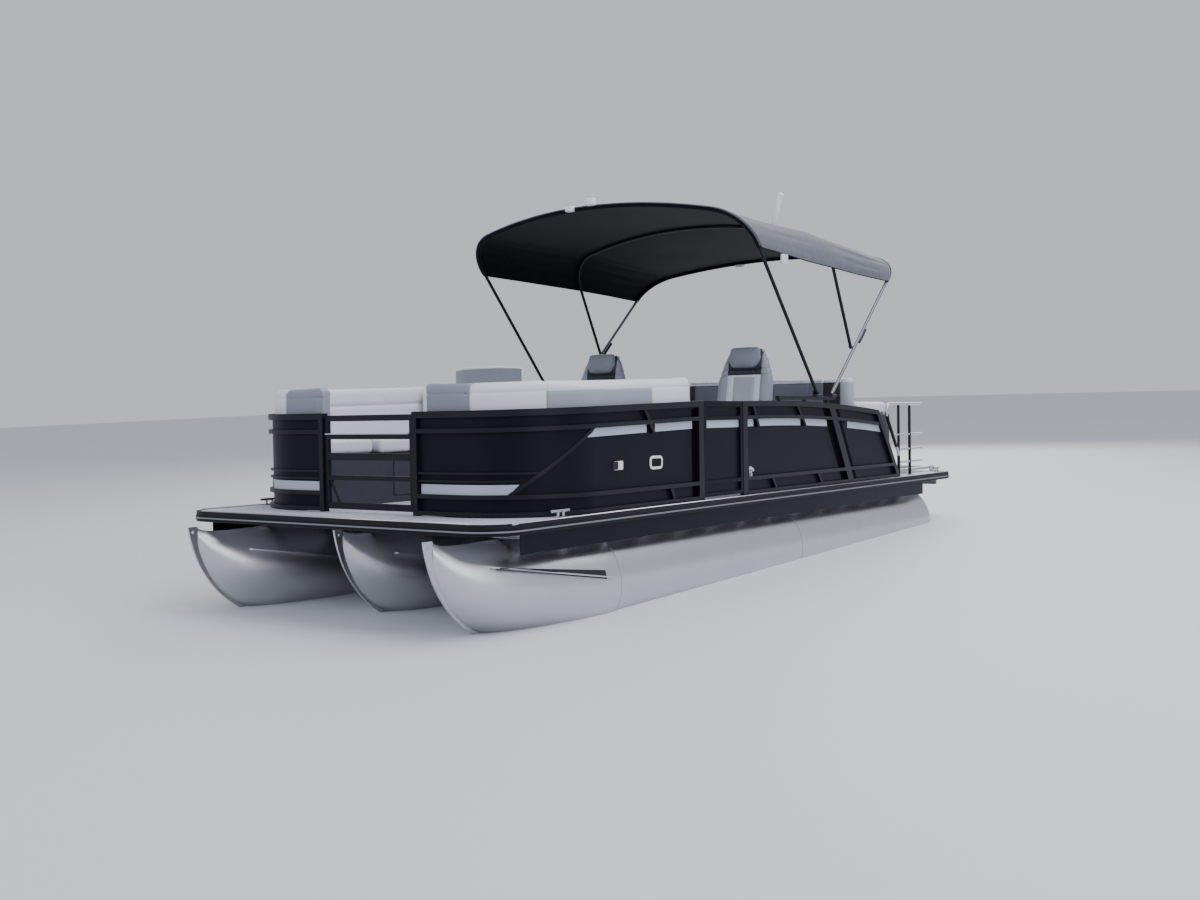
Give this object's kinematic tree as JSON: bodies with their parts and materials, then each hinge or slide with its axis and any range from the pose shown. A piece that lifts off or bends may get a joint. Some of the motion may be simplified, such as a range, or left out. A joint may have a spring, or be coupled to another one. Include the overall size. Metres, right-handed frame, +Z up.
{
  "type": "pontoon boat",
  "caption": "Three-tube pontoon boat with fenced deck, bow lounges, helm console, swivel chairs, stern bench and sunpad, folding canvas top, boarding ladder and steerable outboard.",
  "frame": {"origin": "on the waterline, amidships, on the centreline", "axes": "+X towards the bow, +Y to port, +Z up"},
  "size_m": [6.895, 2.6188, 3.3826],
  "materials": {
    "raw_aluminium": "brushed, lightly oxidised",
    "anodised": "satin anodised",
    "black_rail": "satin black powder coat",
    "panel_black": "gloss black skin",
    "rub_black": "matt rubber",
    "skirt_silver": "satin silver",
    "deck_vinyl": "woven vinyl flooring",
    "seat_base": "moulded grey plastic",
    "seat_vinyl": "off-white marine vinyl",
    "seat_grey": "grey marine vinyl",
    "console_plastic": "white moulding",
    "screen": "smoked acrylic",
    "canvas": "black woven canvas",
    "motor_paint": "gloss black",
    "propeller_steel": "polished",
    "lamp": "clear lens in a white body",
    "stainless": "polished"
  },
  "bodies": {
    "hull": {"deck": "deck_vinyl", "rub_rail": "rub_black", "rub_insert": "anodised", "side_skirts": "skirt_silver", "crossmembers": "raw_aluminium", "port_tube": "raw_aluminium", "starboard_tube": "raw_aluminium", "centre_tube": "raw_aluminium", "motor_pod": "raw_aluminium", "port_bow_fence": "black_rail", "starboard_bow_fence": "black_rail", "port_aft_fence": "black_rail", "starboard_aft_fence": "black_rail", "bow_panels": "panel_black", "aft_panels": "panel_black", "stern_rails": "black_rail", "lounge_bases": "seat_base", "lounge_backs": "seat_grey", "corner_seats": "seat_vinyl", "bench_base": "seat_base", "bench_back": "seat_grey", "sunpad": "seat_vinyl", "helm_console": "console_plastic", "windscreen": "screen", "chair_pedestals": "anodised", "bimini_rear_bow": "black_rail", "bimini_tracks": "black_rail", "bimini_canopy": "canvas", "outboard_bracket": "motor_paint", "ladder_brackets": "anodised", "cleats": "stainless", "docking_lights": "lamp"},
    "bow_gate": {"bow_gate": "black_rail"},
    "side_gate": {"side_gate": "black_rail"},
    "stern_gate": {"stern_gate": "black_rail"},
    "port_seat": {"port_seat": "seat_vinyl"},
    "starboard_seat": {"starboard_seat": "seat_vinyl"},
    "bench_seat": {"bench_seat": "seat_vinyl"},
    "mate_chair": {"mate_chair": "seat_grey"},
    "helm_chair": {"helm_chair": "seat_grey"},
    "steering_wheel": {"steering_wheel": "rub_black"},
    "front_bow": {"bimini_front_bow": "black_rail"},
    "mid_bow": {"bimini_mid_bow": "black_rail", "masthead_light": "lamp"},
    "outboard_tilt": {"outboard_swivel": "motor_paint"},
    "outboard_motor": {"outboard_leg": "motor_paint", "outboard_cowl": "motor_paint"},
    "propeller": {"propeller": "propeller_steel"},
    "ladder": {"boarding_ladder": "anodised"}
  },
  "joints": [
    {"name": "bow_gate_hinge", "type": "hinge", "parent": "hull", "child": "bow_gate", "pos_m": [2.8225, -0.369, 0.81], "axis": [0, 0, 1], "range_deg": [0, 90]},
    {"name": "side_gate_hinge", "type": "hinge", "parent": "hull", "child": "side_gate", "pos_m": [1.085, 1.2315, 0.84], "axis": [0, 0, 1], "range_deg": [0, 90]},
    {"name": "stern_gate_hinge", "type": "hinge", "parent": "hull", "child": "stern_gate", "pos_m": [-2.039, -0.476, 0.785], "axis": [0, 0, 1], "range_deg": [0, 90]},
    {"name": "port_seat_hinge", "type": "hinge", "parent": "hull", "child": "port_seat", "pos_m": [1.75, 1.0855, 0.944], "axis": [-1, 0, 0], "range_deg": [0, 80]},
    {"name": "starboard_seat_hinge", "type": "hinge", "parent": "hull", "child": "starboard_seat", "pos_m": [1.75, -1.0855, 0.944], "axis": [1, 0, 0], "range_deg": [0, 80]},
    {"name": "bench_seat_hinge", "type": "hinge", "parent": "hull", "child": "bench_seat", "pos_m": [-1.342, 0.35, 0.944], "axis": [0, -1, 0], "range_deg": [0, 80]},
    {"name": "mate_chair_swivel", "type": "hinge", "parent": "hull", "child": "mate_chair", "pos_m": [-0.23, 0.68, 0.81], "axis": [0, 0, 1], "continuous": true},
    {"name": "helm_chair_swivel", "type": "hinge", "parent": "hull", "child": "helm_chair", "pos_m": [-0.23, -0.68, 0.81], "axis": [0, 0, 1], "continuous": true},
    {"name": "bimini_fold", "type": "hinge", "parent": "hull", "child": "front_bow", "pos_m": [-0.54, 0, 1.215], "axis": [0, -1, 0], "range_deg": [0, 92], "deforming": ["bimini_canopy"]},
    {"name": "bimini_mid_fold", "type": "hinge", "parent": "hull", "child": "mid_bow", "pos_m": [-1.21503, 0, 1.58348], "axis": [0, -1, 0], "range_deg": [0, 73]},
    {"name": "motor_tilt", "type": "hinge", "parent": "hull", "child": "outboard_tilt", "pos_m": [-2.935, 0, 0.415], "axis": [0, 1, 0], "range_deg": [0, 65]},
    {"name": "motor_steer", "type": "hinge", "parent": "outboard_tilt", "child": "outboard_motor", "pos_m": [-3.02, 0, 0.27], "axis": [0, 0, 1], "range_deg": [-30, 30]},
    {"name": "propeller_shaft", "type": "hinge", "parent": "outboard_motor", "child": "propeller", "pos_m": [-3.36, 0, -0.42], "axis": [1, 0, 0], "continuous": true},
    {"name": "steering_wheel_turn", "type": "hinge", "parent": "hull", "child": "steering_wheel", "pos_m": [0.505, -0.77, 1.15], "axis": [-0.8829, 0, 0.4695], "range_deg": [-720, 720]},
    {"name": "ladder_hinge", "type": "hinge", "parent": "hull", "child": "ladder", "pos_m": [-3.25, 0.89, 0.546], "axis": [0, -1, 0], "range_deg": [0, 262]}
  ],
  "couplings": [
    {"joint": "bimini_mid_fold", "follows": "bimini_fold", "ratio": 0.7837},
    {"joint": "steering_wheel_turn", "follows": "motor_steer", "ratio": 24}
  ]
}
